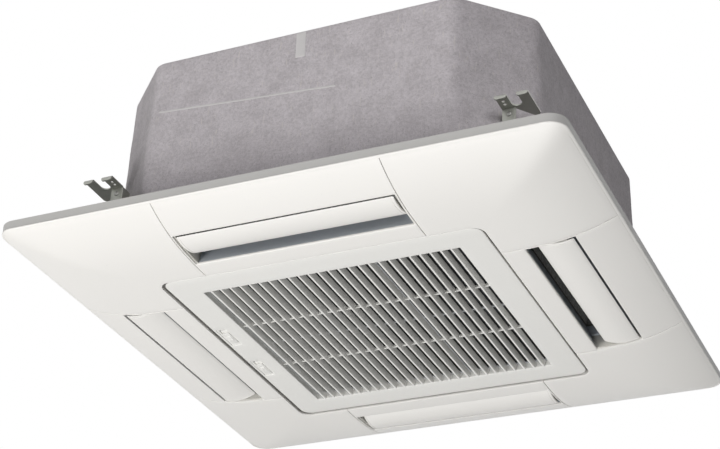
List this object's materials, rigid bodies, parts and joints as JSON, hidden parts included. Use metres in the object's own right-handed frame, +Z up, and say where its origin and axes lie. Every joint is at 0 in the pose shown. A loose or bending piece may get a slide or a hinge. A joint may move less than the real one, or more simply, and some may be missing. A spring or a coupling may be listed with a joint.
{
  "type": "ceiling cassette air conditioner",
  "caption": "Ceiling cassette air conditioner: square decoration panel with a hinged slatted intake grille and a curved louvre on each side, below a felt-wrapped body with hanger brackets.",
  "frame": {"origin": "middle of the ceiling plane, which is the top of the panel's rim", "axes": "+Z up, into the ceiling void; -Y towards the front louvre, the near left one in the picture; +X towards the right louvre, the side where the grille hinges"},
  "size_m": [0.7, 0.7, 0.2768],
  "materials": {
    "panel_white": "satin",
    "grille_white": "satin",
    "louvre_white": "satin",
    "duct_grey": "matte",
    "seal_foam": "matte",
    "felt_grey": "matte",
    "galvanised": "satin",
    "zinc_screw": "satin",
    "foam_white": "matte",
    "fin_aluminium": "satin",
    "copper": "satin",
    "brass_nut": "satin",
    "black_plastic": "satin",
    "grey_plastic": "satin",
    "motor_steel": "satin",
    "shaft_steel": "polished",
    "rubber_black": "matte",
    "board_green": "satin",
    "mesh_grey": "matte"
  },
  "bodies": {
    "unit": {"panel_frame": "panel_white", "panel_seal": "seal_foam", "corner_cover_front_right": "panel_white", "corner_cover_rear_right": "panel_white", "corner_cover_rear_left": "panel_white", "corner_cover_front_left": "panel_white", "hanger_bracket_front_right": "galvanised", "hanger_bracket_rear_right": "galvanised", "hanger_bracket_rear_left": "galvanised", "hanger_bracket_front_left": "galvanised", "outlet_duct_front": "duct_grey", "outlet_duct_right": "duct_grey", "outlet_duct_rear": "duct_grey", "outlet_duct_left": "duct_grey", "louvre_motor_front": "grey_plastic", "louvre_motor_right": "grey_plastic", "louvre_motor_rear": "grey_plastic", "louvre_motor_left": "grey_plastic", "louvre_bushes": "black_plastic", "panel_screws": "zinc_screw", "bracket_rivets": "zinc_screw", "hinge_pins": "shaft_steel", "outer_insulation": "felt_grey", "cabinet": "galvanised", "top_plate": "galvanised", "top_screws": "zinc_screw", "side_liner": "foam_white", "drain_pan": "foam_white", "bell_mouth": "duct_grey", "fan_motor": "motor_steel", "motor_mounts": "rubber_black", "coil_fins": "fin_aluminium", "coil_end_plates": "galvanised", "coil_return_bends": "copper", "gas_pipe": "copper", "liquid_pipe": "copper", "gas_flare_nut": "brass_nut", "liquid_flare_nut": "brass_nut", "pipe_cover": "galvanised", "drain_pump": "black_plastic", "float_switch": "grey_plastic", "drain_hose": "rubber_black", "drain_socket": "grey_plastic", "control_box": "galvanised", "control_lid": "galvanised", "control_board": "board_green", "terminal_block": "black_plastic", "cable_gland": "black_plastic"},
    "grille": {"intake_grille": "grille_white", "filter_frame": "grey_plastic", "filter_mesh": "mesh_grey"},
    "latch_front": {"grille_latch_front": "grille_white"},
    "latch_rear": {"grille_latch_rear": "grille_white"},
    "fan": {"turbo_fan": "black_plastic", "fan_shaft": "shaft_steel", "fan_nut": "zinc_screw"},
    "louvre_front": {"louvre_front": "louvre_white"},
    "louvre_right": {"louvre_right": "louvre_white"},
    "louvre_rear": {"louvre_rear": "louvre_white"},
    "louvre_left": {"louvre_left": "louvre_white"}
  },
  "joints": [
    {"name": "grille_hinge", "type": "hinge", "parent": "unit", "child": "grille", "pos_m": [0.194, 0, -0.028], "axis": [0, -1, 0], "range_deg": [0, 90]},
    {"name": "latch_slide_front", "type": "slide", "parent": "grille", "child": "latch_front", "axis": [0, -1, 0], "range_m": [0, 0.008]},
    {"name": "latch_slide_rear", "type": "slide", "parent": "grille", "child": "latch_rear", "axis": [0, -1, 0], "range_m": [0, 0.008]},
    {"name": "louvre_tilt_front", "type": "hinge", "parent": "unit", "child": "louvre_front", "pos_m": [0, -0.276, -0.019], "axis": [1, 0, 0], "range_deg": [-16, 35]},
    {"name": "louvre_tilt_right", "type": "hinge", "parent": "unit", "child": "louvre_right", "pos_m": [0.276, 0, -0.019], "axis": [0, 1, 0], "range_deg": [-16, 35]},
    {"name": "louvre_tilt_rear", "type": "hinge", "parent": "unit", "child": "louvre_rear", "pos_m": [0, 0.276, -0.019], "axis": [-1, 0, 0], "range_deg": [-16, 35]},
    {"name": "louvre_tilt_left", "type": "hinge", "parent": "unit", "child": "louvre_left", "pos_m": [-0.276, 0, -0.019], "axis": [0, -1, 0], "range_deg": [-16, 35]},
    {"name": "fan_spin", "type": "hinge", "parent": "unit", "child": "fan", "pos_m": [0, 0, 0.15], "axis": [0, 0, 1], "continuous": true}
  ]
}
